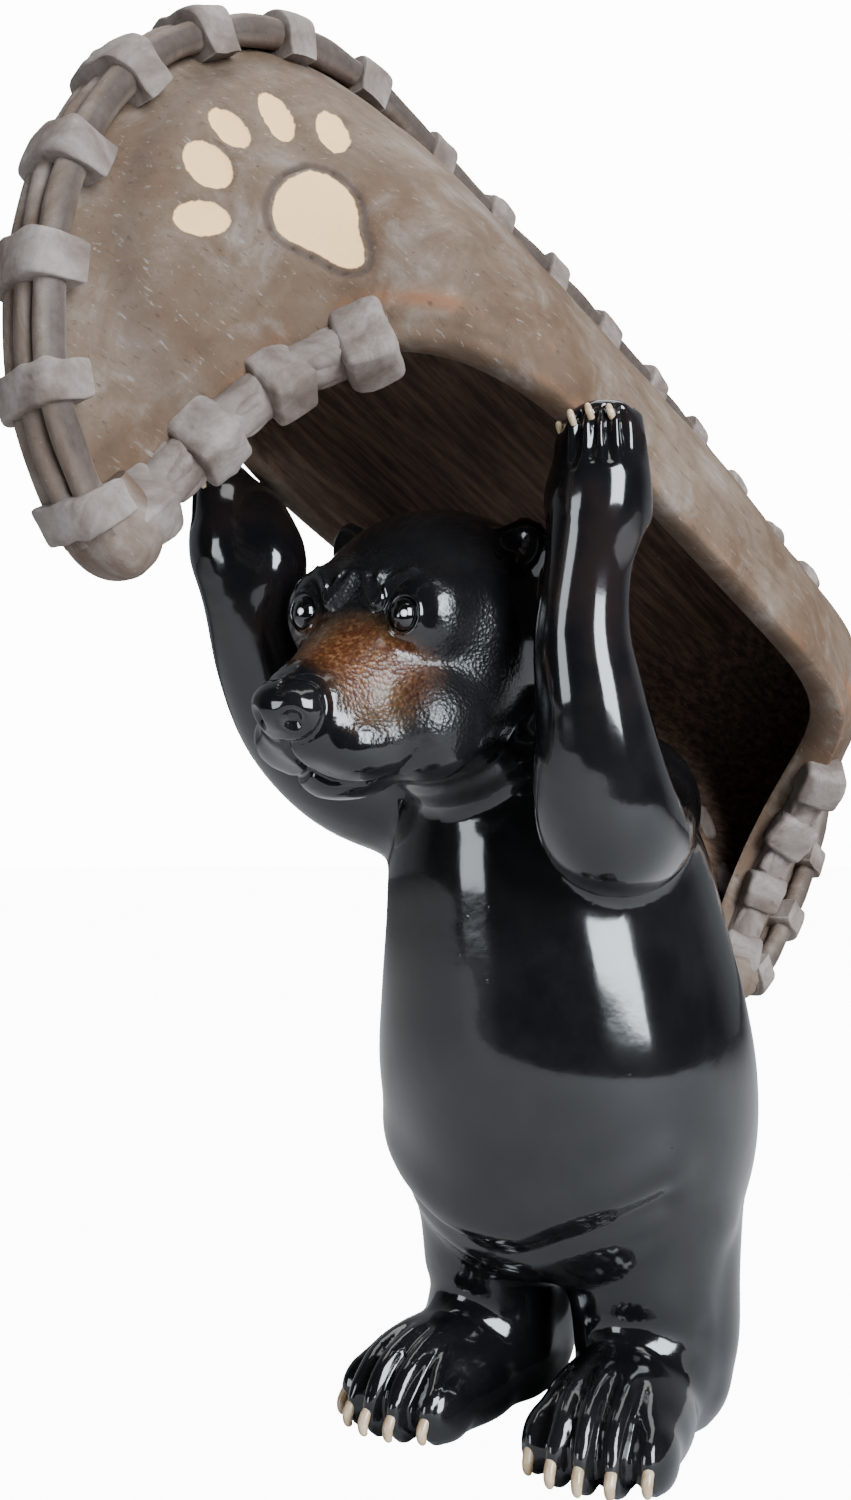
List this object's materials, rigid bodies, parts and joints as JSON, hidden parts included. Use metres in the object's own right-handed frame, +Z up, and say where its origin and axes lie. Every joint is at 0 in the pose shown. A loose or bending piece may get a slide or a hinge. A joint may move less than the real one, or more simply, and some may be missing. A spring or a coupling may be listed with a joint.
{
  "type": "bear figurine",
  "caption": "Glossy black bear standing upright on its hind feet and holding an overturned canoe over its head with both front paws.",
  "frame": {"origin": "on the ground under the middle of the figure's box", "axes": "+Z up, the bear faces -Y and its left side is +X"},
  "size_m": [0.0772, 0.1761, 0.1943],
  "materials": {
    "bear_glaze": "cast resin under a glossy near-black glaze",
    "canoe_clay": "cast resin with a matte grey-brown wash"
  },
  "bodies": {
    "root": {"bear": "bear_glaze", "canoe": "canoe_clay"}
  },
  "joints": []
}
